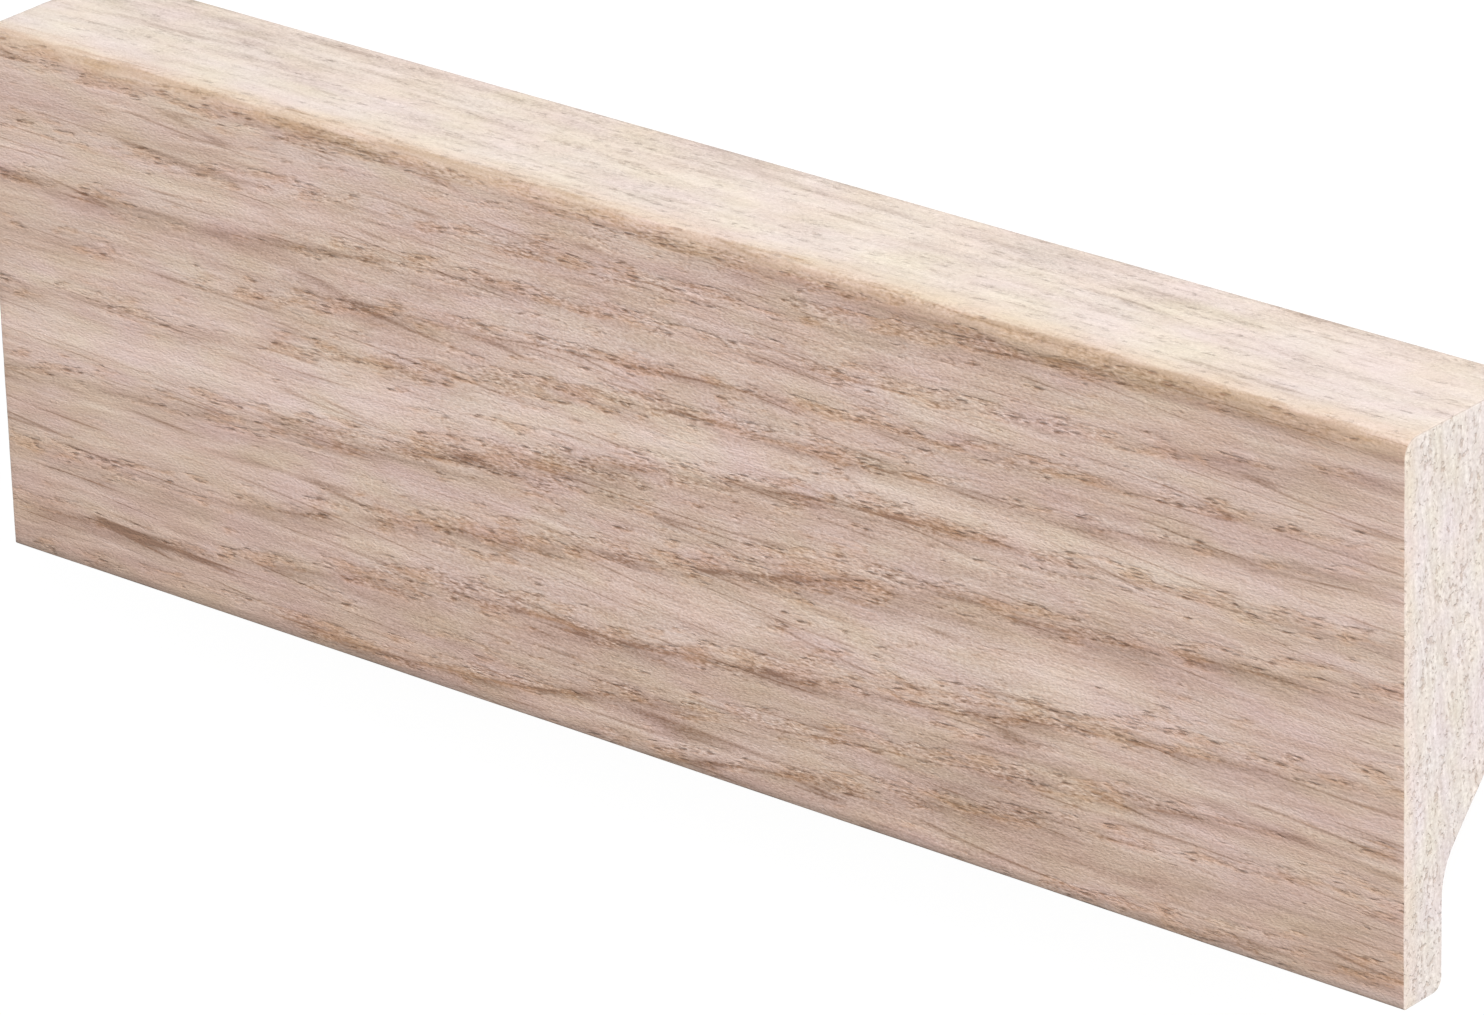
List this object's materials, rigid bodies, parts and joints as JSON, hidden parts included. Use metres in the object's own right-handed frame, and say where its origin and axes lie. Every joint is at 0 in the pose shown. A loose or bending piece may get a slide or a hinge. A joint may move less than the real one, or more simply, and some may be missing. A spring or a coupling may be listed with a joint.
{
  "type": "skirting board length",
  "caption": "Solid oak skirting board length with a rounded top edge and a slanted relief cut in the back that leaves a thin lip at the floor.",
  "frame": {"origin": "under the middle of the board on the plane of its back face, which lies on the floor", "axes": "+X along the board, +Y up the board's height as it is fixed to a wall, towards the rounded top edge, +Z out of the wall, towards the show face"},
  "size_m": [0.187, 0.06, 0.02],
  "materials": {
    "oak": "bare planed oak, matt, pale beige with darker brown grain bands and fine open pores"
  },
  "bodies": {
    "root": {"skirting_board": "oak"}
  },
  "joints": []
}
